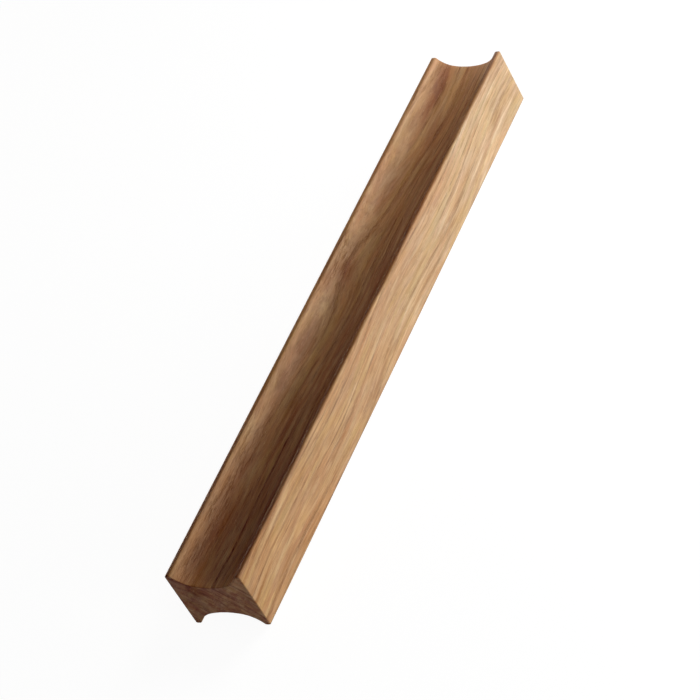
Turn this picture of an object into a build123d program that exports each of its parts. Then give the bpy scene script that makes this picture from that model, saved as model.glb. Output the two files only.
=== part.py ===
from build123d import *

import math
import os

# Solid wood pull handle: one bar with a finger groove along its top and another along its underside,
# held from behind through two threaded inserts.
#
# Millimetres. The origin is the centre of the bar's flat back face, which sits against the door or
# drawer front. +X runs along the bar, +Z is up and +Y points out of the back face into the door.
# Depths are measured from the back face towards the front, along -Y.

# Bar
SCREW_SPACING = 192.0  # hole centres, six steps of the 32 mm cabinet hole grid
SCREW_END_DISTANCE = 10.0  # from each end of the bar to the nearer hole
PROJECTION = 25.0  # from the back face to the front face
FACE_HEIGHT = 20.0  # height of the flat front and back faces
GROOVE_DEPTH = 4.8  # below the level of the lips, top and bottom alike
GROOVE_FLOOR_RADIUS = 22.0
GROOVE_FLOOR_ANGLE = 13.75  # degrees of arc from the middle of the floor to where each wall begins
GROOVE_WALL_RADIUS = 8.8
LIP_RADIUS = 0.8  # rounding where a groove runs out onto its narrow flat lip
FRONT_EDGE_RADIUS = 0.5  # easing of the two long edges of the front face
BACK_EDGE_RADIUS = 0.6  # easing of the two long edges of the back face
END_EDGE_RADIUS = 0.3  # easing around both end faces

# Threaded inserts, M4, pressed into the back of the bar
THREAD_BORE_RADIUS = 1.65  # tapping size of the thread
THREAD_MOUTH_CHAMFER = 0.45
INSERT_LENGTH = 10.0  # with its flange
INSERT_BODY_RADIUS = 2.7
BARB_RADIUS = 3.1
BARB_COUNT = 4
BARB_LAND = 0.3  # width of each barb's crest
BARB_START = 0.3  # of the spacing between barbs, from the start of each to its square shoulder
BARB_END = 0.7  # of that spacing, from the shoulder to the foot of its cone
FLANGE_RADIUS = 4.5
FLANGE_THICKNESS = 0.9
FLANGE_RECESS = 0.2  # of the flange's outer face below the back of the bar
FLUTE_COUNT = 12  # lengthwise notches through the barbs, which key the insert against turning
FLUTE_RADIUS = 0.3

# Seat of each insert in the bar
SEAT_CLEARANCE = 0.15  # around the flange
BORE_RUN_OUT = 2.3  # depth past the insert's end, for the tip of the screw

LENGTH = SCREW_SPACING + 2 * SCREW_END_DISTANCE
CORE_HALF_HEIGHT = FACE_HEIGHT / 2 - GROOVE_DEPTH
FLANGE_SEAT_DEPTH = FLANGE_RECESS + FLANGE_THICKNESS
INSERT_END_DEPTH = FLANGE_RECESS + INSERT_LENGTH
INSERT_BORE_DEPTH = INSERT_END_DEPTH + BORE_RUN_OUT

# Each groove wall is an arc tangent to the floor, up to the level of the lips
WALL_CENTRE_HEIGHT = (
    CORE_HALF_HEIGHT
    + GROOVE_FLOOR_RADIUS
    - (GROOVE_FLOOR_RADIUS - GROOVE_WALL_RADIUS) * math.cos(math.radians(GROOVE_FLOOR_ANGLE))
)
WALL_END_ANGLE = math.degrees(math.acos((WALL_CENTRE_HEIGHT - FACE_HEIGHT / 2) / GROOVE_WALL_RADIUS))

# Planes: the bar's cross-section at its left end, about the middle of the section, and its back face
SECTION_PLANE = Plane(origin=(-LENGTH / 2, -PROJECTION / 2, 0), x_dir=(0, 1, 0), z_dir=(1, 0, 0))
BACK_PLANE = Plane(origin=(0, 0, 0), x_dir=(1, 0, 0), z_dir=(0, 1, 0))

os.makedirs("parts", exist_ok=True)


# Wooden bar: a quarter of the section, mirrored to both sides and run along X
with BuildPart() as pull_bar:
    with BuildSketch(SECTION_PLANE) as bar_section:
        with BuildLine() as section_outline:
            floor = JernArc(
                start=(0, CORE_HALF_HEIGHT),
                tangent=(1, 0),
                radius=GROOVE_FLOOR_RADIUS,
                arc_size=GROOVE_FLOOR_ANGLE,
            )
            wall = JernArc(
                start=floor @ 1,
                tangent=floor % 1,
                radius=GROOVE_WALL_RADIUS,
                arc_size=WALL_END_ANGLE - GROOVE_FLOOR_ANGLE,
            )
            Polyline(wall @ 1, (PROJECTION / 2, FACE_HEIGHT / 2), (PROJECTION / 2, 0))
            mirror(about=Plane.YZ)
            mirror(about=Plane.XZ)
        make_face()
        fillet(bar_section.vertices().group_by(Axis.X)[1], LIP_RADIUS)
        fillet(bar_section.vertices().group_by(Axis.X)[-2], LIP_RADIUS)
        fillet(bar_section.vertices().group_by(Axis.X)[0], FRONT_EDGE_RADIUS)
        fillet(bar_section.vertices().group_by(Axis.X)[-1], BACK_EDGE_RADIUS)
    extrude(amount=LENGTH)
    left_end, *_, right_end = pull_bar.faces().sort_by(Axis.X)
    fillet(left_end.edges() + right_end.edges(), END_EDGE_RADIUS)
    with Locations(BACK_PLANE):
        with GridLocations(SCREW_SPACING, 0, 2, 1):
            CounterBoreHole(
                radius=BARB_RADIUS,
                counter_bore_radius=FLANGE_RADIUS + SEAT_CLEARANCE,
                counter_bore_depth=FLANGE_SEAT_DEPTH,
                depth=INSERT_BORE_DEPTH,
            )

pull_bar.part.label = "pull_bar"
export_step(pull_bar.part, "parts/pull_bar.step")


def barb_outline():
    """Radius and position of the insert's outside, from the flange's seat to its leading end.

    Each barb is a cone that widens towards the mouth and drops square behind its crest, so it slides
    in and does not pull out.
    """
    pitch = (INSERT_LENGTH - FLANGE_THICKNESS) / BARB_COUNT
    points = []
    for barb in range(BARB_COUNT):
        shoulder = -FLANGE_SEAT_DEPTH - pitch * (barb + BARB_START)
        points.append((INSERT_BODY_RADIUS, shoulder))
        points.append((BARB_RADIUS, shoulder))
        points.append((BARB_RADIUS, shoulder - BARB_LAND))
        points.append((INSERT_BODY_RADIUS, shoulder - BARB_END * pitch))
    return points


# Threaded inserts: a flange, a bore at tapping size and a barbed, fluted body
for side, name in ((-1, "threaded_insert_left"), (1, "threaded_insert_right")):
    insert_origin = (side * SCREW_SPACING / 2, 0, 0)
    with BuildPart() as threaded_insert:
        with BuildSketch(Plane(origin=insert_origin)) as half_section:
            with BuildLine() as half_outline:
                Polyline(
                    (THREAD_BORE_RADIUS + THREAD_MOUTH_CHAMFER, -FLANGE_RECESS),
                    (FLANGE_RADIUS, -FLANGE_RECESS),
                    (FLANGE_RADIUS, -FLANGE_SEAT_DEPTH),
                    (INSERT_BODY_RADIUS, -FLANGE_SEAT_DEPTH),
                    *barb_outline(),
                    (THREAD_BORE_RADIUS, -INSERT_END_DEPTH),
                    (THREAD_BORE_RADIUS, -FLANGE_RECESS - THREAD_MOUTH_CHAMFER),
                    close=True,
                )
            make_face()
        revolve(axis=Axis(insert_origin, (0, 1, 0)))
        with BuildSketch(BACK_PLANE.offset(-FLANGE_SEAT_DEPTH)) as flutes:
            with Locations((side * SCREW_SPACING / 2, 0)):
                with PolarLocations(BARB_RADIUS, FLUTE_COUNT):
                    Circle(FLUTE_RADIUS)
        extrude(amount=-INSERT_LENGTH, mode=Mode.SUBTRACT)
    threaded_insert.part.label = name
    export_step(threaded_insert.part, f"parts/{name}.step")
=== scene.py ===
import math

import bpy
import numpy as np
from mathutils import Matrix, Vector, noise


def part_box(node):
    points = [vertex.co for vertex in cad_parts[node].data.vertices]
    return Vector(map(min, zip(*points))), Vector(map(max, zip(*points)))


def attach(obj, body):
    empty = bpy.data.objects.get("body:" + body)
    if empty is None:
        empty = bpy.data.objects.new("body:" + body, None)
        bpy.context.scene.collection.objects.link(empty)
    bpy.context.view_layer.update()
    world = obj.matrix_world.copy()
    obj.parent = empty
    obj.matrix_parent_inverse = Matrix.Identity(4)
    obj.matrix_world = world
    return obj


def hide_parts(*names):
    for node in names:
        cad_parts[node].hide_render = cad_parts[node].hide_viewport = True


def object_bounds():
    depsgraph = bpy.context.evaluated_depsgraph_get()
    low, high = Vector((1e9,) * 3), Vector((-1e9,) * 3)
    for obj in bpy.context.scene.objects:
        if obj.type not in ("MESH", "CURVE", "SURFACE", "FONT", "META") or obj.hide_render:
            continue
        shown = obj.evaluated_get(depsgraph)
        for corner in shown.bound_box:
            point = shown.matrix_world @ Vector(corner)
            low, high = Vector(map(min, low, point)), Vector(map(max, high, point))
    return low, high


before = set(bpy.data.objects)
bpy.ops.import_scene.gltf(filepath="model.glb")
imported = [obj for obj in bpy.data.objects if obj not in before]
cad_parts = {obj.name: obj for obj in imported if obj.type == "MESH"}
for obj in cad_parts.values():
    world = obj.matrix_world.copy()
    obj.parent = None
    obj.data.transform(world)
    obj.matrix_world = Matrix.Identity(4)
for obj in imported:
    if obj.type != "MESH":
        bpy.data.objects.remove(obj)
CAD_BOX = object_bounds()

# Solid oak pull handle with two brass inserts in its back. The scene is in metres, in the frame of the
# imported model. Shapes are worked out in millimetres and scaled as each mesh is made.
MM = 0.001
BODY = "root"

BAR_LOW, BAR_HIGH = (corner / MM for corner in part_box("pull_bar"))
LENGTH = BAR_HIGH.x - BAR_LOW.x
PROJECTION = BAR_HIGH.y - BAR_LOW.y
HALF_HEIGHT = (BAR_HIGH.z - BAR_LOW.z) / 2
MIDDLE_Y = (BAR_HIGH.y + BAR_LOW.y) / 2

# Cross-section of the bar
GROOVE_DEPTH = 4.8
GROOVE_FLOOR_RADIUS = 22.0
GROOVE_FLOOR_ANGLE = math.radians(13.75)
GROOVE_WALL_RADIUS = 8.8
LIP_RADIUS = 0.8
FRONT_EDGE_RADIUS = 0.5
BACK_EDGE_RADIUS = 0.6
END_EDGE_RADIUS = 0.3

# Spacing of the bar's mesh
ACROSS_STEP = 0.37  # along the outline of the section
ALONG_STEP = 1.0  # along the bar
EDGE_STEPS = 5  # fewest around each rounded edge
FLAT_STEPS = 2  # fewest across the flat top of a lip
FACE_STEPS = 8  # fewest up the front and back faces
END_STEPS = 4  # around the edge of each end face

# How far painted shade darkens the groove's floor and wall, then the lip's rounding and flat top, then the
# bar's long edge
BACK_LIP_SHADE_SHARES = (0.0, 0.0, 0.55, 0.4, 0.0)
FRONT_LIP_SHADE_SHARES = (0.0, 0.0, 0.65, 0.85, 0.4)
END_EDGE_SHADE_SHARE = 0.3  # the same for the edge of each end face

# Seats of the inserts in the back of the bar
BORE_RADIUS = 3.12
BORE_DEPTH = 12.5
SEAT_MARGIN = 0.15  # between flange and wood
SEAT_EASING = 0.12  # broken edge of the counterbore
SEAT_EASING_SHARE = 0.3  # of that easing, where its two facets meet
PATCH_HALF_SIZE = 6.4  # of the square of the back face that is remeshed around each bore
PATCH_RINGS = 6  # from that square to the seat's edge

# Brass inserts
THREAD_BORE_RADIUS = 1.65
THREAD_DEPTH = 0.36
THREAD_PITCH = 0.7
THREAD_MOUTH_CHAMFER = 0.45
THREAD_ROWS_PER_TURN = 8
THREAD_ROOT = 0.22  # share of the pitch that is flat at the bottom of the thread's groove
THREAD_FLANKS = 0.64  # share of the pitch that its two sloping sides take up
INSERT_SEGMENTS = 96
INSERT_FACE_RINGS = 4  # across the flange's outer face
INSERT_BODY_RADIUS = 2.7
BARB_RADIUS = 3.1
BARB_COUNT = 4
BARB_LAND = 0.3  # width of each barb's crest
BARB_START = 0.3  # of the spacing between barbs, from the start of each to its square shoulder
BARB_END = 0.7  # of that spacing, from the shoulder to the foot of its cone
FLANGE_THICKNESS = 0.9
FLANGE_EDGE_CHAMFER = 0.12

# The tree that the bar was cut from: its pith runs below and behind the bar, almost along X
PITH_Y = 80.0
PITH_Z = -95.0
PITH_TILT_Y = -0.016
PITH_TILT_Z = 0.012
MEAN_RADIUS = 138.0
RING_WIDTH = 2.1
RING_SWELLS = ((0.35, 0.9, 0.5), (0.2, 2.3, 0.0))  # unevenness of the years: size, rate and phase of each
GRAIN_RELIEF = 0.022  # depth to which the soft early wood is worn below the late wood
EARLY_MIDDLE = 0.16  # share of a ring's width at which the early wood is softest
EARLY_REACH = 0.2  # to either side of that

# Gentle waves in the fibres
WAVE_LENGTH = 88.0
WAVE_HEIGHT = 0.6
WAVE_CREST = 22.0  # X of a crest at the back of the bar, which lies further right towards the front
WAVE_LAG = 0.95
CALM = 0.7  # how far the waves flatten at the back of the bar's left half
CALM_LENGTH = 50.0  # over which they do so, towards the left
CALM_FRONT = -20.0  # Y where that begins, and how far behind it the waves are flattest
CALM_WIDTH = 12.0

# Drift of the fibres out from the pith: height, then length along, out from and around the pith, and offset
DRIFTS = (
    (-0.8, (60.0, 16.0, 40.0), (0.0, 5.3, 0.0)),
    (-0.3, (21.0, 4.0, 9.0), (9.1, 0.0, 0.0)),
)

# A small knot in the back wall of the upper groove, and how the fibres bulge past it
KNOT_CENTRE = Vector((15.0, -5.4, 6.5))
KNOT_REACH = 4.0
KNOT_STRETCH = 1.7  # along the fibres
KNOT_PUSH = 1.1
KNOT_SOFTNESS = 0.7
KNOT_STAIN = 0.85
BULGE_LENGTH = 16.0
BULGE_WIDTH = 6.0

# Darker streaks in the upper groove, one a real stain and two painted shade: centre along X and Y, reach
# along X and Y, and strength
STAINS_AND_SHADE = (
    (97.0, -5.5, 19.0, 1.9, 1.35),  # red heartwood in the back wall
    (-100.0, -7.4, 40.0, 2.7, 0.85),  # painted shade, broader and brown, at the other end of the groove
    (70.0, -14.0, 30.0, 3.2, 0.4),  # painted shadow of the front lip, faint, along the floor
)
STAIN_FADE = 3.0  # height over which stains, painted shade and bulge fade out down to the middle of the bar

# The lips' painted shade fades at the back, from one X to another, and grows at the front
BACK_FADE = 0.75
BACK_FADE_X = (-80.0, 80.0)
FRONT_GROWTH = 0.5
FRONT_GROWTH_X = (70.0, 100.0)


# ---------------------------------------------------------------------------------------------- meshes


def make_object(name, points, faces, attributes=(), sharp_angle=35.0):
    """A smooth-shaded mesh object from points in millimetres, with vertex attributes for its material."""
    mesh = bpy.data.meshes.new(name)
    mesh.from_pydata([tuple(c * MM for c in p) for p in points], [], faces)
    mesh.validate()
    for label, kind, values in attributes:
        layer = mesh.attributes.new(label, kind, "POINT")
        field = "vector" if kind == "FLOAT_VECTOR" else "value"
        layer.data.foreach_set(field, np.asarray(values, np.float32).ravel())
    mesh.polygons.foreach_set("use_smooth", [True] * len(mesh.polygons))
    mesh.set_sharp_from_angle(angle=math.radians(sharp_angle))
    piece = bpy.data.objects.new(name, mesh)
    bpy.context.scene.collection.objects.link(piece)
    return piece


def arc(centre, radius, start, end, step, outward):
    """Points and outward normals along an arc, without its end. Angles run from +Y to +Z."""
    count = max(EDGE_STEPS, round(abs(end - start) * radius / step))
    angles = start + (end - start) * np.arange(count) / count
    radial = np.stack([np.cos(angles), np.sin(angles)], 1)
    return np.array(centre) + radius * radial, outward * radial


def flat(start, end, step):
    """Points and outward normals along the level top of a lip, without its end."""
    count = max(FLAT_STEPS, round(abs(end - start) / step))
    along = start + (end - start) * np.arange(count) / count
    points = np.stack([along, np.full(count, HALF_HEIGHT)], 1)
    return points, np.tile([0.0, 1.0], (count, 1))


def half_profile(edge_radius, lip_shade_shares):
    """Points, normals and lip shares from the middle of a groove's floor to one long edge of the bar.

    Points and normals are (y, z), with y from the middle of the section.
    """
    floor_centre = HALF_HEIGHT - GROOVE_DEPTH + GROOVE_FLOOR_RADIUS
    reach = GROOVE_FLOOR_RADIUS - GROOVE_WALL_RADIUS
    wall_centre = (
        reach * math.sin(GROOVE_FLOOR_ANGLE),
        floor_centre - reach * math.cos(GROOVE_FLOOR_ANGLE),
    )
    lip_z = HALF_HEIGHT - LIP_RADIUS
    drop = wall_centre[1] - lip_z
    lip_y = wall_centre[0] + math.sqrt((GROOVE_WALL_RADIUS + LIP_RADIUS) ** 2 - drop**2)
    touch = math.atan2(drop, wall_centre[0] - lip_y)
    edge_y = PROJECTION / 2 - edge_radius
    down = -math.pi / 2
    stretches = [
        arc((0, floor_centre), GROOVE_FLOOR_RADIUS, down, down + GROOVE_FLOOR_ANGLE, ACROSS_STEP, -1),
        arc(wall_centre, GROOVE_WALL_RADIUS, down + GROOVE_FLOOR_ANGLE, touch - math.pi, ACROSS_STEP, -1),
        arc((lip_y, lip_z), LIP_RADIUS, touch, math.pi / 2, ACROSS_STEP, 1),
        flat(lip_y, edge_y, ACROSS_STEP),
        arc((edge_y, HALF_HEIGHT - edge_radius), edge_radius, math.pi / 2, 0, ACROSS_STEP, 1),
    ]
    last = np.array([[PROJECTION / 2, HALF_HEIGHT - edge_radius]])
    points = np.concatenate([p for p, n in stretches] + [last])
    normals = np.concatenate([n for p, n in stretches] + [[[1.0, 0.0]]])
    lip = [np.full(len(stretch[0]), share) for stretch, share in zip(stretches, lip_shade_shares)]
    return points, normals, np.concatenate(lip + [[0.0]])


def top_profile():
    """The top of the section from back edge to front edge: points (y, z), normals and lip shares."""
    back, back_normals, back_lip = half_profile(BACK_EDGE_RADIUS, BACK_LIP_SHADE_SHARES)
    front, front_normals, front_lip = half_profile(FRONT_EDGE_RADIUS, FRONT_LIP_SHADE_SHARES)
    points = np.concatenate([back[::-1], (front * [-1, 1])[1:]])
    normals = np.concatenate([back_normals[::-1], (front_normals * [-1, 1])[1:]])
    points[:, 0] += MIDDLE_Y
    return points, normals, np.concatenate([back_lip[::-1], front_lip[1:]])


def section_ring(inset):
    """The closed outline of the section, from the back face's foot up and anticlockwise about +X.

    inset moves it inwards, as the eased edge of an end face does. The lip shares, the rows up the back face
    and the columns across the top come with it.
    """
    top, normals, share = top_profile()
    top = top - inset * normals
    rows = max(FACE_STEPS, round(2 * HALF_HEIGHT / ACROSS_STEP))
    rise = np.linspace(-1, 1, rows + 1)[1:-1]
    back = np.stack([np.full(len(rise), top[0, 0]), rise * top[0, 1]], 1)
    front = np.stack([np.full(len(rise), top[-1, 0]), -rise * top[-1, 1]], 1)
    bottom = (top * [1, -1])[::-1]
    ring = np.concatenate([back, top, front, bottom])
    lip = np.concatenate([0 * rise, share, 0 * rise, share[::-1]])
    return ring, lip, rows, len(top)


def stations():
    """X and inset of each cross-section: the eased edge of one end, the straight run, the other edge."""
    angles = np.linspace(0, math.pi / 2, END_STEPS + 1)
    end_x = LENGTH / 2 - END_EDGE_RADIUS + END_EDGE_RADIUS * np.cos(angles)
    end_inset = END_EDGE_RADIUS * (1 - np.sin(angles))
    count = round(2 * end_x[-1] / ALONG_STEP)
    run = np.linspace(-end_x[-1], end_x[-1], count + 1)[1:-1]
    x = np.concatenate([-end_x, run, end_x[::-1]])
    return x, np.concatenate([end_inset, 0 * run, end_inset[::-1]])


def end_cap(points, faces, ring_start, rows, columns, facing):
    """Fills the section outline that starts at ring_start with a grid fine enough for the grain's detail."""
    ring_size = 2 * (rows - 1) + 2 * columns
    top = [ring_start + rows - 1 + j for j in range(columns)]
    bottom = [ring_start + ring_size - 1 - j for j in range(columns)]
    back = [bottom[0]] + [ring_start + i for i in range(rows - 1)] + [top[0]]
    front_side = [ring_start + rows - 1 + columns + i for i in range(rows - 1)]
    front = [bottom[-1]] + front_side[::-1] + [top[-1]]
    grid = [back]
    for j in range(1, columns - 1):
        low, high = np.array(points[bottom[j]]), np.array(points[top[j]])
        column = [bottom[j]]
        for i in range(1, rows):
            points.append(tuple(low + (high - low) * i / rows))
            column.append(len(points) - 1)
        grid.append(column + [top[j]])
    grid.append(front)
    for left, right in zip(grid[:-1], grid[1:]):
        for i in range(rows):
            quad = (left[i], left[i + 1], right[i + 1], right[i])
            faces.append(quad if facing > 0 else quad[::-1])


def seat_rings(flange_radius, seat_depth):
    """Radius and depth of the rings from the mouth of an insert's seat to the bottom of its bore."""
    seat_radius = flange_radius + SEAT_MARGIN
    return [
        (seat_radius + SEAT_EASING, 0.0),
        (seat_radius + SEAT_EASING_SHARE * SEAT_EASING, SEAT_EASING_SHARE * SEAT_EASING),
        (seat_radius, SEAT_EASING),
        (seat_radius, seat_depth),
        (BORE_RADIUS, seat_depth),
        (BORE_RADIUS, BORE_DEPTH / 2),
        (BORE_RADIUS, BORE_DEPTH),
        (BORE_RADIUS / 2, BORE_DEPTH),
    ]


def drill(points, faces, loop, centre_x, rings):
    """Fills the square hole in the back face whose boundary is loop.

    Rings turn from the square to the seat's circle, then run down the seat and the bore below it.
    """
    angles = [math.atan2(points[v][2], points[v][0] - centre_x) for v in loop]
    square = [np.array(points[v]) for v in loop]
    mouth = [(centre_x + rings[0][0] * math.cos(a), 0.0, rings[0][0] * math.sin(a)) for a in angles]
    levels = []
    for step in range(1, PATCH_RINGS):
        share = step / PATCH_RINGS
        levels.append([tuple(s + (np.array(m) - s) * share) for s, m in zip(square, mouth)])
    for radius, depth in rings:
        levels.append([(centre_x + radius * math.cos(a), -depth, radius * math.sin(a)) for a in angles])
    outer = loop
    for level in levels:
        inner = list(range(len(points), len(points) + len(level)))
        points.extend(level)
        for i in range(len(loop)):
            k = (i + 1) % len(loop)
            faces.append((outer[i], outer[k], inner[k], inner[i]))
        outer = inner
    points.append((centre_x, -rings[-1][1], 0.0))
    for i in range(len(loop)):
        faces.append((outer[i], outer[(i + 1) % len(loop)], len(points) - 1))


def bar_mesh(insert_centres, flange_radius, seat_depth):
    """Points, faces and lip shares of the wooden bar."""
    xs, insets = stations()
    points, faces, lip = [], [], []
    for x, inset in zip(xs, insets):
        ring, share, rows, columns = section_ring(inset)
        points.extend((x, y, z) for y, z in ring)
        lip.extend(np.maximum(share, END_EDGE_SHADE_SHARE if inset > 0 else 0.0))
    size = 2 * (rows - 1) + 2 * columns

    def in_patch(k, i):
        """X of the seat whose square holds the quad after station k and point i of the ring, or None."""
        middle_x = (xs[k] + xs[k + 1]) / 2
        z = (points[i % size][2] + points[(i + 1) % size][2]) / 2
        on_back = i < rows - 2
        for centre_x in insert_centres:
            if on_back and abs(middle_x - centre_x) < PATCH_HALF_SIZE and abs(z) < PATCH_HALF_SIZE:
                return centre_x
        return None

    patches = {centre_x: [] for centre_x in insert_centres}
    for k in range(len(xs) - 1):
        for i in range(size):
            corner, after = k * size + i, k * size + (i + 1) % size
            quad = (corner, after, after + size, corner + size)
            seat = in_patch(k, i)
            if seat is None:
                faces.append(quad)
            else:
                patches[seat].append(quad)
    end_cap(points, faces, 0, rows, columns, -1)
    end_cap(points, faces, (len(xs) - 1) * size, rows, columns, 1)
    rings = seat_rings(flange_radius, seat_depth)
    for centre_x, quads in patches.items():
        drill(points, faces, boundary_loop(quads), centre_x, rings)
    lip.extend([0.0] * (len(points) - len(lip)))
    return points, faces, lip


def boundary_loop(quads):
    """The vertices around a patch of quads, in the order in which the quads' own edges run."""
    directed = {(q[i], q[(i + 1) % 4]) for q in quads for i in range(4)}
    following = {a: b for a, b in directed if (b, a) not in directed}
    start = min(following)
    loop = [start]
    while following[loop[-1]] != start:
        loop.append(following[loop[-1]])
    return loop


# ------------------------------------------------------------------------------------------- the tree


def smooth(value):
    """0 below 0, 1 above 1 and an S-shaped rise between."""
    value = min(1.0, max(0.0, value))
    return value * value * (3 - 2 * value)


def in_upper_half(z):
    """0 in the lower half of the bar, 1 high in the upper half."""
    return smooth(z / STAIN_FADE)


def wave_at(x, y):
    """How far the waves push the fibres out from the pith."""
    crest = WAVE_CREST - WAVE_LAG * y
    calm = CALM * smooth(-x / CALM_LENGTH) * smooth((y - CALM_FRONT) / CALM_WIDTH)
    return WAVE_HEIGHT * (1 - calm) * math.cos(2 * math.pi * (x - crest) / WAVE_LENGTH)


def drift_at(place):
    """How far the fibres have drifted out from the pith at a place among them."""
    total = 0.0
    for height, size, offset in DRIFTS:
        total += height * noise.noise(Vector([p / s + o for p, s, o in zip(place, size, offset)]))
    return total


def knot_at(x, y, z, out_y, out_z):
    """Strength of the knot, and how far it pushes the fibres out from the pith, along (out_y, out_z)."""
    away = Vector((x, y, z)) - KNOT_CENTRE
    strength = math.exp(-((away.x / KNOT_STRETCH) ** 2 + away.y**2 + away.z**2) / KNOT_REACH**2)
    side = (away.y * out_y + away.z * out_z) / math.hypot(out_y, out_z)
    bulge = math.exp(-((away.x / BULGE_LENGTH) ** 2) - (away.y / BULGE_WIDTH) ** 2) * in_upper_half(z)
    return strength, bulge + KNOT_PUSH * strength * side / (abs(side) + KNOT_SOFTNESS)


def streaks_and_shade_at(x, y):
    """Strength of the darker streaks: a real stain, and painted shade and shadow in the upper groove."""
    total = 0.0
    for centre_x, centre_y, reach_x, reach_y, strength in STAINS_AND_SHADE:
        total += strength * math.exp(-(((x - centre_x) / reach_x) ** 2) - ((y - centre_y) / reach_y) ** 2)
    return total


def grain_at(x, y, z):
    """Where a point of the bar lies in the tree: growth ring, place among the fibres, and strength of stain
    and painted shade.

    The place is (along the fibres, out from the pith, around the pith), in millimetres. The fibres run in
    gentle waves and part around a small knot.
    """
    out_y = y - PITH_Y - PITH_TILT_Y * x
    out_z = z - PITH_Z - PITH_TILT_Z * x
    radius = math.hypot(out_y, out_z)
    around = MEAN_RADIUS * math.atan2(out_z, out_y)
    knot, push = knot_at(x, y, z, out_y, out_z)
    radial = radius + wave_at(x, y) + drift_at((x, radius, around)) + push
    even_ring = radial / RING_WIDTH
    ring = even_ring + sum(size * math.sin(rate * even_ring + phase) for size, rate, phase in RING_SWELLS)
    stain_and_shade = max(KNOT_STAIN * knot**2, streaks_and_shade_at(x, y) * in_upper_half(z))
    return ring, (x, radial, around), stain_and_shade


def lip_shade_along(x, y):
    """How much painted shade a lip has here: towards the right, the back ones less and the front ones more.
    """
    low, high = BACK_FADE_X if y > MIDDLE_Y else FRONT_GROWTH_X
    right = smooth((x - low) / (high - low))
    return 1 - BACK_FADE * right if y > MIDDLE_Y else 1 + FRONT_GROWTH * right


def wear_at(ring):
    """Depth to which the surface is worn down over the soft early wood of a ring."""
    phase = ring - math.floor(ring)
    return GRAIN_RELIEF * smooth(1 - abs(phase - EARLY_MIDDLE) / EARLY_REACH)


def insert_nodes():
    """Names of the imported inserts."""
    return [name for name in sorted(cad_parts) if name.startswith("threaded_insert")]


def make_bar():
    """The wooden bar, with the grain's coordinates on its vertices and its surface worn along the grain."""
    boxes = [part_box(name) for name in insert_nodes()]
    centres = [(low.x + high.x) / 2 / MM for low, high in boxes]
    flange_radius = (boxes[0][1].x - boxes[0][0].x) / 2 / MM
    seat_depth = -boxes[0][1].y / MM + FLANGE_THICKNESS
    points, faces, lip = bar_mesh(centres, flange_radius, seat_depth)
    grain = [grain_at(*p) for p in points]
    bare = make_object("bare_bar", points, faces)
    normals = [tuple(v.normal) for v in bare.data.vertices]
    bpy.data.objects.remove(bare)
    shaped = []
    for p, n, (ring, place, stain_and_shade) in zip(points, normals, grain):
        wear = wear_at(ring)
        shaped.append(tuple(c - wear * d for c, d in zip(p, n)))
    # The stain attribute holds the knot, a real stain and painted shade in the upper groove; the lip
    # attribute  holds the painted shade of the lips
    attributes = (
        ("ring", "FLOAT", [ring for ring, place, stain_and_shade in grain]),
        ("fibre", "FLOAT_VECTOR", [place for ring, place, stain_and_shade in grain]),
        ("stain_and_shade", "FLOAT", [stain_and_shade for ring, place, stain_and_shade in grain]),
        ("lip", "FLOAT", [share * lip_shade_along(x, y) for share, (x, y, z) in zip(lip, points)]),
    )
    bar = make_object("oak_bar", shaped, faces, attributes)
    bar.data.materials.append(oak_material())
    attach(bar, BODY)
    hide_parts("pull_bar")


# -------------------------------------------------------------------------------------------- inserts


def thread_radius(turns, depth):
    """Radius of the threaded wall at a part-turn about the axis and a depth below the flange's face."""
    phase = (depth / THREAD_PITCH - turns) % 1.0
    ridge = abs(2 * phase - 1)
    tooth = min(1.0, max(0.0, (ridge - THREAD_ROOT) / THREAD_FLANKS))
    mouth = THREAD_BORE_RADIUS + THREAD_MOUTH_CHAMFER - depth
    return max(mouth, THREAD_BORE_RADIUS + THREAD_DEPTH * (1 - tooth))


def insert_outline(length, flange_radius):
    """Radius and depth along the outside of an insert, from the flange's face to the leading end."""
    outline = [
        (flange_radius - FLANGE_EDGE_CHAMFER, 0.0),
        (flange_radius, FLANGE_EDGE_CHAMFER),
        (flange_radius, FLANGE_THICKNESS),
        (INSERT_BODY_RADIUS, FLANGE_THICKNESS),
    ]
    pitch = (length - FLANGE_THICKNESS) / BARB_COUNT
    for barb in range(BARB_COUNT):
        shoulder = FLANGE_THICKNESS + pitch * (barb + BARB_START)
        outline.append((INSERT_BODY_RADIUS, shoulder))
        outline.append((BARB_RADIUS, shoulder))
        outline.append((BARB_RADIUS, shoulder + BARB_LAND))
        outline.append((INSERT_BODY_RADIUS, min(length, shoulder + BARB_END * pitch)))
    return outline


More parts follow.
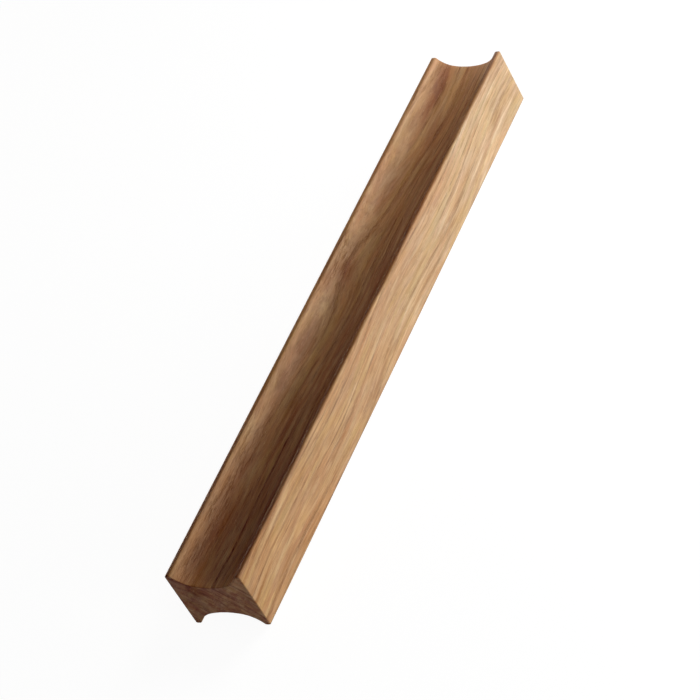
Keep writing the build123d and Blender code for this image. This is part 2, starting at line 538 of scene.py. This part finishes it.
def make_insert(node):
    """A turned brass insert with a real thread in its bore, in place of its plain CAD node."""
    low, high = (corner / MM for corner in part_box(node))
    centre_x, mouth_y = (low.x + high.x) / 2, high.y
    length, flange_radius = high.y - low.y, (high.x - low.x) / 2
    outside = insert_outline(length, flange_radius)
    rows = round(length / THREAD_PITCH * THREAD_ROWS_PER_TURN)
    points, faces = [], []
    for segment in range(INSERT_SEGMENTS):
        turns = segment / INSERT_SEGMENTS
        angle = 2 * math.pi * turns
        mouth = thread_radius(turns, 0.0)
        width = outside[0][0] - mouth
        loop = [(mouth + width * i / INSERT_FACE_RINGS, 0.0) for i in range(1, INSERT_FACE_RINGS)]
        loop += outside
        depths = [length * (rows - row) / rows for row in range(rows + 1)]
        loop += [(thread_radius(turns, depth), depth) for depth in depths]
        for radius, depth in loop:
            points.append((centre_x + radius * math.cos(angle), mouth_y - depth, radius * math.sin(angle)))
    size = len(loop)
    for segment in range(INSERT_SEGMENTS):
        here, there = segment * size, (segment + 1) % INSERT_SEGMENTS * size
        for i in range(size):
            k = (i + 1) % size
            faces.append((here + i, here + k, there + k, there + i))
    insert = make_object(node.replace("threaded", "brass"), points, faces, sharp_angle=30.0)
    insert.data.materials.append(brass_material())
    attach(insert, BODY)
    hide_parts(node)


# ------------------------------------------------------------------------------------------ materials


class Nodes:
    """Short calls for building a material's node tree."""

    def __init__(self, name):
        self.material = bpy.data.materials.new(name)
        self.material.use_nodes = True
        self.tree = self.material.node_tree
        self.shader = self.tree.nodes["Principled BSDF"]

    def add(self, kind, *inputs, **settings):
        node = self.tree.nodes.new("ShaderNode" + kind)
        for key, value in settings.items():
            setattr(node, key, value)
        for index, value in enumerate(inputs):
            self.feed(node.inputs[index], value)
        return node

    def feed(self, socket, value):
        if isinstance(value, bpy.types.NodeSocket):
            self.tree.links.new(value, socket)
        elif value is not None:
            socket.default_value = value

    def attribute(self, name):
        return self.add("Attribute", attribute_name=name)

    def math(self, operation, a, b=None, c=None):
        return self.add("Math", a, b, c, operation=operation).outputs[0]

    def vector(self, operation, a, b=None):
        return self.add("VectorMath", a, b, operation=operation).outputs[0]

    def noise(self, vector, size, detail=2.0, roughness=0.5, offset=(0.0, 0.0, 0.0)):
        """Noise whose features are about size long along each axis of vector."""
        sized = self.vector("MULTIPLY", vector, tuple(1 / s for s in size))
        node = self.add("TexNoise", self.vector("ADD", sized, offset))
        node.inputs["Scale"].default_value = 1.0
        node.inputs["Detail"].default_value = detail
        node.inputs["Roughness"].default_value = roughness
        return node.outputs[0]

    def scaled(self, value, factor, term=0.0):
        """value times factor, plus term."""
        return self.math("MULTIPLY_ADD", value, factor, term)

    def span(self, value, low, high, to_low=0.0, to_high=1.0):
        """value from low to high, eased and clamped, as to_low to to_high."""
        node = self.add("MapRange", value, low, high, to_low, to_high, interpolation_type="SMOOTHSTEP")
        return node.outputs[0]

    def tint(self, share, colour, tint):
        """Colour with a share of tint multiplied into it."""
        return self.mix(share, colour, tint, "MULTIPLY")

    def ramp(self, value, stops):
        """The colour at value, between stops of (position, colour)."""
        node = self.add("ValToRGB", value)
        elements = node.color_ramp.elements
        while len(elements) < len(stops):
            elements.new(0.5)
        for element, (position, colour) in zip(elements, stops):
            element.position = position
            element.color = (*colour, 1.0)
        return node.outputs[0]

    def mix(self, share, a, b, blend="MIX"):
        """Colour a with a share of colour b, each a socket or three numbers."""
        node = self.add("Mix", data_type="RGBA", blend_type=blend)
        self.feed(node.inputs[0], share)
        for socket, value in ((node.inputs[6], a), (node.inputs[7], b)):
            self.feed(socket, (*value, 1.0) if isinstance(value, tuple) else value)
        return node.outputs[2]

    def bump(self, height, depth):
        """Relief of the surface, where a height of 1 stands depth metres proud."""
        node = self.add("Bump")
        node.inputs["Distance"].default_value = depth
        self.feed(node.inputs["Height"], height)
        self.tree.links.new(node.outputs[0], self.shader.inputs["Normal"])


# Colours of the wood, and tints that multiply them; some tints paint sheen or shade
PALE_OAK = (0.65, 0.395, 0.172)
OAK = (0.53, 0.285, 0.118)
BROWN_OAK = (0.36, 0.172, 0.056)
DARK_OAK = (0.20, 0.088, 0.034)
RED_OAK = (0.46, 0.195, 0.075)
GOLDEN_OAK = (0.52, 0.305, 0.105)
# Darkens the knot and stain, and the painted shade and shadow in the upper groove
STAIN_AND_SHADE_TINT = (0.67, 0.48, 0.29)
WARM_TINT = (1.02, 0.985, 0.90)
COOL_TINT = (0.99, 1.02, 1.06)
# Painted sheen on the front face
PAINTED_SHEEN_GAIN = (1.40, 1.97, 3.20)
END_TINT = (1.03, 1.17, 1.56)
END_STAIN_TINT = (0.84, 0.83, 1.12)
# Painted shade on surfaces that face back, away from the front lights
PAINTED_SHADE_TINT = (0.97, 0.915, 0.88)
# Painted shade on the lips and on the edges of the end faces
LIP_SHADE_TINT = (0.61, 0.52, 0.34)

# Noises in the wood: size of the features along, out from and around the pith in millimetres, then detail,
# roughness and offset
OAK_NOISES = {
    "year": ((75.0, 2.3, 50.0), 1.0, 0.5, (4.0, 9.0, 1.0)),
    "vessel": ((7.0, 0.3, 0.7), 4.0, 0.65),
    "broad": ((90.0, 4.5, 45.0), 2.0, 0.5, (2.0, 0.0, 5.0)),
    "hue": ((26.0, 1.6, 5.0), 2.0, 0.6, (8.0, 2.0, 3.0)),
    "tone": ((15.0, 2.2, 4.0), 2.0, 0.6, (5.0, 7.0, 2.0)),
    "streak": ((28.0, 1.35, 8.0), 4.0, 0.6),
    "fine": ((10.0, 0.26, 1.4), 3.0, 0.6, (7.0, 3.0, 0.0)),
    "dash": ((15.0, 0.8, 2.6), 2.0, 0.5, (3.0, 1.0, 8.0)),
    "glint": ((15.0, 1.0, 3.0), 2.0, 0.5, (6.0, 8.0, 1.0)),
    "pore": ((2.6, 0.14, 0.26), 2.0, 0.5, (1.0, 6.0, 2.0)),
    "fleck": ((2.2, 3.0, 0.22), 1.0, 0.5),
    "mottle": ((30.0, 3.2, 2.4), 4.0, 0.65, (2.0, 5.0, 7.0)),
    # varies the painted shade on the lips
    "shaded_lips": ((9.0, 2.0, 2.0),),
}

# Those noises that become masks: the values between which each mask rises, and its lowest and highest value
OAK_MASKS = {
    "year": (0.4, 0.62, 0.15, 1.0),
    "vessel": (0.48, 0.6, 0.0, 1.0),
    "dash": (0.53, 0.67, 0.0, 1.0),
    "glint": (0.52, 0.7, 0.0, 1.0),
    "pore": (0.56, 0.7, 0.0, 1.0),
    "fleck": (0.62, 0.74, 0.0, 1.0),
    "mottle": (0.42, 0.6, 0.0, 1.0),
    # the painted shade on the lips
    "shaded_lips": (0.3, 0.6, 0.75, 1.0),
}

# Early wood, by the share of a ring's width: where it begins and where it gives way to late wood
EARLY_BEGINS = (0.0, 0.1)
EARLY_ENDS = (0.2, 0.42, 1.0, 0.0)
VESSELS_IN_EARLY = 0.85  # more than elsewhere
VESSELS_ELSEWHERE = 0.12

# Colours at values of the streak and tone noises
STREAK_STOPS = ((0.33, BROWN_OAK), (0.46, OAK), (0.53, OAK), (0.66, PALE_OAK))
TONE_STOPS = ((0.36, WARM_TINT), (0.62, COOL_TINT))

# Colours that drift along the fibres: a noise, two of its values, the colour's share at each, and the colour
DRIFTING_COLOURS = (
    ("hue", 0.5, 0.68, 0.0, 0.42, RED_OAK),
    ("hue", 0.34, 0.5, 0.6, 0.0, GOLDEN_OAK),
    ("broad", 0.5, 0.72, 0.0, 0.45, RED_OAK),
    ("fine", 0.34, 0.6, 0.38, 0.0, BROWN_OAK),
)

# Marks on top of them: a mask, the colour's share where the mask is 1, and the colour
MARKS = (
    ("early", 0.6, BROWN_OAK),
    ("dash", 0.42, BROWN_OAK),
    ("glint", 0.3, PALE_OAK),
    ("vessel", 0.38, DARK_OAK),
    ("pore", 0.3, DARK_OAK),
)
FLECK_SHARE = 0.3
STAIN_AND_SHADE_IN_STREAKS = (0.38, 0.6, 1.0, 0.8)  # stain and painted shade are weaker in the pale streaks

# Values of a surface's normal, along Y for the first two and along X for the third, between which the
# surface comes to count as front, as facing back and given painted shade, or as end grain
FRONT_FACING = (-0.98, -0.7, 1.0, 0.0)
PAINTED_SHADE_FACING = (-0.3, 0.1)
END_FACING = (0.55, 0.9)

PAINTED_SHEEN_ALONG = (-125.0, 95.0, 0.12, 0.57)  # painted sheen on the front face: from one X to another, and its share at each

OAK_IOR = 1.47
OAK_ROUGHNESS = 0.46
ROUGHNESS_CHANGES = {"fine": 0.16, "vessel": 0.2, "shaded_lips": -0.08, "fleck": -0.07}
OAK_RELIEF = 0.00007  # in metres, for a height of 1 below
RELIEF_HEIGHTS = {"fine": 0.35, "vessel": -1.0, "pore": -0.5, "streak": 0.25}


def oak_figure(n):
    """The wood's figure by name: noises and masks along the grain that is stored on the bar."""
    fibre = n.attribute("fibre").outputs["Vector"]
    figure = {name: n.noise(fibre, *settings) for name, settings in OAK_NOISES.items()}
    for name, limits in OAK_MASKS.items():
        figure[name] = n.span(figure[name], *limits)
    figure["along"] = n.add("SeparateXYZ", fibre).outputs[0]
    figure["stain_and_shade"] = n.attribute("stain_and_shade").outputs["Fac"]
    # Where painted shade darkens the lips, which are also a little smoother
    figure["shaded_lips"] = n.math("MULTIPLY", n.attribute("lip").outputs["Fac"], figure["shaded_lips"])

    # Each growth ring starts with porous early wood. Some years stand out more.
    phase = n.math("FRACT", n.attribute("ring").outputs["Fac"])
    early = n.math("MULTIPLY", n.span(phase, *EARLY_BEGINS), n.span(phase, *EARLY_ENDS))
    figure["early"] = n.math("MULTIPLY", early, figure["year"])
    vessel_share = n.scaled(figure["early"], VESSELS_IN_EARLY, VESSELS_ELSEWHERE)
    figure["vessel"] = n.math("MULTIPLY", figure["vessel"], vessel_share)
    return figure


def oak_colour(n, figure):
    """Colour of the fresh wood: streaks between golden and reddish, rings, vessels, pores and flecks, with
    stains and painted shade.
    """
    colour = n.ramp(figure["streak"], STREAK_STOPS)
    for name, *limits, layer in DRIFTING_COLOURS:
        colour = n.mix(n.span(figure[name], *limits), colour, layer)
    for name, share, layer in MARKS:
        colour = n.mix(n.scaled(figure[name], share), colour, layer)
    colour = n.tint(1.0, colour, n.ramp(figure["tone"], TONE_STOPS))
    # Stains, and painted shade and shadow in the upper groove, darken the colour
    stain_and_shade = n.math("MULTIPLY", figure["stain_and_shade"], n.span(figure["streak"], *STAIN_AND_SHADE_IN_STREAKS))
    colour = n.tint(stain_and_shade, colour, STAIN_AND_SHADE_TINT)
    return n.mix(n.scaled(figure["fleck"], FLECK_SHARE), colour, PALE_OAK)


def oak_ageing(n, figure, colour):
    """The colour with painted sheen and painted shade, and with greyer end grain, by the way that each
    surface faces.
    """
    facing = n.add("SeparateXYZ", n.add("TexCoord").outputs["Normal"])
    facing_x, facing_y = facing.outputs[:2]

    # Painted sheen: the front face is lightened, most of all towards its right end
    front = n.span(facing_y, *FRONT_FACING)
    painted_sheen = n.math("MULTIPLY", front, n.span(figure["along"], *PAINTED_SHEEN_ALONG))
    colour = n.tint(painted_sheen, colour, PAINTED_SHEEN_GAIN)

    # Painted shade: the front walls and floors of the grooves and the back face, which face away from the
    # front lights, are darker and warmer
    colour = n.tint(n.span(facing_y, *PAINTED_SHADE_FACING), colour, PAINTED_SHADE_TINT)

    # End grain is greyer and mottled
    end_grain = n.span(n.math("ABSOLUTE", facing_x), *END_FACING)
    colour = n.tint(end_grain, colour, n.mix(figure["mottle"], END_TINT, END_STAIN_TINT))

    # Painted shade on the lips and on the edges of the end faces
    return n.tint(figure["shaded_lips"], colour, LIP_SHADE_TINT)


def oak_surface(n, figure):
    """Roughness and relief: vessels and pores are rough and hollow, flecks and the shaded lips smoother."""
    n.shader.inputs["IOR"].default_value = OAK_IOR
    roughness = OAK_ROUGHNESS
    for name, change in ROUGHNESS_CHANGES.items():
        roughness = n.scaled(figure[name], change, roughness)
    n.feed(n.shader.inputs["Roughness"], roughness)
    height = 0.0
    for name, share in RELIEF_HEIGHTS.items():
        height = n.scaled(figure[name], share, height)
    n.bump(height, OAK_RELIEF)


def oak_material():
    """Oiled oak with its figure laid along the stored grain."""
    n = Nodes("oiled_oak")
    figure = oak_figure(n)
    n.feed(n.shader.inputs["Base Color"], oak_ageing(n, figure, oak_colour(n, figure)))
    oak_surface(n, figure)
    return n.material


BRASS = (0.80, 0.60, 0.31)
TARNISHED_BRASS = (0.52, 0.35, 0.16)
BRIGHT_BRASS = (0.9, 0.74, 0.45)
TARNISH_NOISE = ((1.6, 1.6, 1.6), 4.0, 0.6)
TARNISH_SPAN = (0.4, 0.7, 0.0, 0.55)
SCRATCH_NOISE = ((0.12, 2.0, 1.4), 2.0, 0.5)
SCRATCH_SPAN = (0.62, 0.7)
SCRATCH_SHARE = 0.3  # of bright brass
SCRATCH_HEIGHT = -0.5  # times the height of the marks of the lathe
LATHE_RINGS = 45.0  # marks of the lathe per millimetre of radius
LATHE_DETAIL = 3.0
BRASS_ROUGHNESS = 0.16
TARNISH_ROUGHNESS = 0.25  # added where tarnish is full
LATHE_ROUGHNESS = 0.12  # added on the marks of the lathe
BRASS_RELIEF = 0.00001  # in metres


def lathe_marks(n, place):
    """Fine rings about the axis of either insert, which lie at equal distances from the bar's middle."""
    low, high = (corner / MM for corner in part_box("threaded_insert_right"))
    parts = n.add("SeparateXYZ", place)
    from_axis = n.math("SUBTRACT", n.math("ABSOLUTE", parts.outputs[0]), (low.x + high.x) / 2)
    flat_place = n.add("CombineXYZ", from_axis, parts.outputs[2]).outputs[0]
    radius = n.add("VectorMath", flat_place, operation="LENGTH").outputs[1]
    marks = n.add("TexNoise", noise_dimensions="1D")
    n.feed(marks.inputs["W"], n.math("MULTIPLY", radius, LATHE_RINGS))
    marks.inputs["Scale"].default_value = 1.0
    marks.inputs["Detail"].default_value = LATHE_DETAIL
    return marks.outputs[0]


def brass_material():
    """Turned brass: fine rings from the lathe on the flange, faint tarnish and scratches."""
    existing = bpy.data.materials.get("turned_brass")
    if existing:
        return existing
    n = Nodes("turned_brass")
    place = n.vector("MULTIPLY", n.add("TexCoord").outputs["Object"], (1 / MM, 1 / MM, 1 / MM))
    marks = lathe_marks(n, place)
    tarnish = n.noise(place, *TARNISH_NOISE)
    scratch = n.span(n.noise(place, *SCRATCH_NOISE), *SCRATCH_SPAN)
    colour = n.mix(n.span(tarnish, *TARNISH_SPAN), BRASS, TARNISHED_BRASS)
    colour = n.mix(n.scaled(scratch, SCRATCH_SHARE), colour, BRIGHT_BRASS)
    n.feed(n.shader.inputs["Base Color"], colour)
    n.shader.inputs["Metallic"].default_value = 1.0
    roughness = n.scaled(tarnish, TARNISH_ROUGHNESS, BRASS_ROUGHNESS)
    n.feed(n.shader.inputs["Roughness"], n.scaled(marks, LATHE_ROUGHNESS, roughness))
    n.bump(n.scaled(scratch, SCRATCH_HEIGHT, marks), BRASS_RELIEF)
    return n.material


# ---------------------------------------------------------------------------------------------- studio

WHITE = (1.0, 1.0, 1.0, 1.0)
FLOOR_SIZE = 8.0
FLOOR_GAP = 0.00002  # between floor and handle
FLOOR_GREY = (0.75, 0.75, 0.75, 1.0)
FLOOR_ROUGHNESS = 0.8
FLOOR_GLOW = 1.15  # how bright a share of the floor is to the camera, whatever light falls on it
FLOOR_GLOW_SHARE = 0.82
WORLD_FILL = 0.035  # strength of the even light from all around
BLACK_LEVEL = (0.036, 0.027, 0.012)


def make_floor():
    """A pale floor under the handle, which the camera sees as nearly the same white as the background."""
    mesh = bpy.data.meshes.new("floor")
    half = FLOOR_SIZE / 2
    z = CAD_BOX[0].z - FLOOR_GAP
    corners = [(-half, -half, z), (half, -half, z), (half, half, z), (-half, half, z)]
    mesh.from_pydata(corners, [], [(0, 1, 2, 3)])
    floor = bpy.data.objects.new("floor", mesh)
    bpy.context.scene.collection.objects.link(floor)
    n = Nodes("pale_floor")
    n.shader.inputs["Base Color"].default_value = FLOOR_GREY
    n.shader.inputs["Roughness"].default_value = FLOOR_ROUGHNESS
    glow = n.add("Emission", WHITE, FLOOR_GLOW)
    seen = n.add("MixShader", FLOOR_GLOW_SHARE, n.shader.outputs[0], glow.outputs[0])
    camera_ray = n.add("LightPath").outputs["Is Camera Ray"]
    both = n.add("MixShader", camera_ray, n.shader.outputs[0], seen.outputs[0])
    n.tree.links.new(both.outputs[0], n.tree.nodes["Material Output"].inputs["Surface"])
    mesh.materials.append(n.material)


def make_world():
    """White to the camera, and a soft even fill to the handle."""
    world = bpy.data.worlds.new("studio")
    world.use_nodes = True
    tree = world.node_tree
    background = tree.nodes["Background"]
    background.inputs["Color"].default_value = WHITE
    background.inputs["Strength"].default_value = WORLD_FILL
    white = tree.nodes.new("ShaderNodeBackground")
    white.inputs["Color"].default_value = WHITE
    path = tree.nodes.new("ShaderNodeLightPath")
    mix = tree.nodes.new("ShaderNodeMixShader")
    tree.links.new(path.outputs["Is Camera Ray"], mix.inputs[0])
    tree.links.new(background.outputs[0], mix.inputs[1])
    tree.links.new(white.outputs[0], mix.inputs[2])
    tree.links.new(mix.outputs[0], tree.nodes["World Output"].inputs["Surface"])
    bpy.context.scene.world = world


# Softboxes: place, the point that each is turned to, width and height in metres, power in watts and colour
SOFTBOXES = {
    "front": ((0.0, -0.6, 0.05), (0.0, -0.01, 0.0), (0.6, 0.15), 1.3, (1.0, 1.0, 1.0)),
    "front_left": ((-0.3, -0.5, 0.10), (-0.05, -0.01, 0.0), (0.3, 0.2), 1.03, (1.0, 1.0, 1.0)),
    "right": ((0.33, -0.25, 0.08), (0.05, -0.02, 0.0), (0.2, 0.15), 0.40, (1.0, 1.0, 1.0)),
    "above": ((0.25, -0.18, 0.25), (0.12, -0.08, -0.01), (0.2, 0.2), 0.66, (1.0, 1.0, 1.0)),
    "back": ((0.0, 0.6, 0.012), (0.0, 0.0, 0.0), (1.0, 0.03), 2.1, (1.03, 0.92, 0.72)),
    "backdrop": ((0.25, 0.5, 0.2), (0.0, 0.0, 0.0), (0.8, 0.4), 0.25, (1.0, 1.0, 1.0)),
    "far_end": ((0.137, -0.008, 0.025), (0.09, -0.012, 0.005), (0.03, 0.02), 0.005, (1.0, 0.98, 0.92)),
}


def softbox(name, place, aim, size, power, colour):
    """A rectangular area light at place, turned towards aim."""
    light = bpy.data.lights.new(name, "AREA")
    light.shape = "RECTANGLE"
    light.size, light.size_y = size
    light.energy = power
    light.color = colour
    lamp = bpy.data.objects.new(name, light)
    lamp.location = place
    direction = Vector(aim) - Vector(place)
    lamp.rotation_euler = direction.to_track_quat("-Z", "Y").to_euler()
    lamp.visible_camera = False
    bpy.context.scene.collection.objects.link(lamp)


# The camera looks down on the front and left end, rolled so that the bar stands steep in the picture
CAMERA_AZIMUTH = math.radians(-47.219)
CAMERA_ELEVATION = math.radians(36.456)
CAMERA_ROLL = math.radians(30.919)
CAMERA_DISTANCE = 0.8463
CAMERA_LENS = 148.8
CAMERA_SENSOR = 36.0
CAMERA_CLIP = (0.05, 20.0)
CAMERA_AIM = Vector((-7.07, -10.50, -5.18)) * MM


def make_camera():
    camera = bpy.data.cameras.new("camera")
    camera.sensor_width = CAMERA_SENSOR
    camera.lens = CAMERA_LENS
    camera.clip_start, camera.clip_end = CAMERA_CLIP
    back = Vector(
        (
            math.sin(CAMERA_AZIMUTH) * math.cos(CAMERA_ELEVATION),
            -math.cos(CAMERA_AZIMUTH) * math.cos(CAMERA_ELEVATION),
            math.sin(CAMERA_ELEVATION),
        )
    )
    eye = bpy.data.objects.new("camera", camera)
    eye.rotation_mode = "QUATERNION"
    level = (-back).to_track_quat("-Z", "Y")
    roll = Matrix.Rotation(-CAMERA_ROLL, 3, "Z").to_quaternion()
    eye.rotation_quaternion = level @ roll
    eye.location = CAMERA_AIM + CAMERA_DISTANCE * back
    bpy.context.scene.collection.objects.link(eye)
    bpy.context.scene.camera = eye


def set_view():
    """A plain view of the scene with slightly deepened blacks."""
    settings = bpy.context.scene.view_settings
    settings.view_transform = "Standard"
    settings.look = "None"
    settings.exposure = 0.0
    settings.use_curve_mapping = True
    settings.curve_mapping.black_level = BLACK_LEVEL


def make_studio():
    make_floor()
    make_world()
    for name, settings in SOFTBOXES.items():
        softbox(name, *settings)
    make_camera()
    set_view()


make_bar()
for insert_node in insert_nodes():
    make_insert(insert_node)
make_studio()
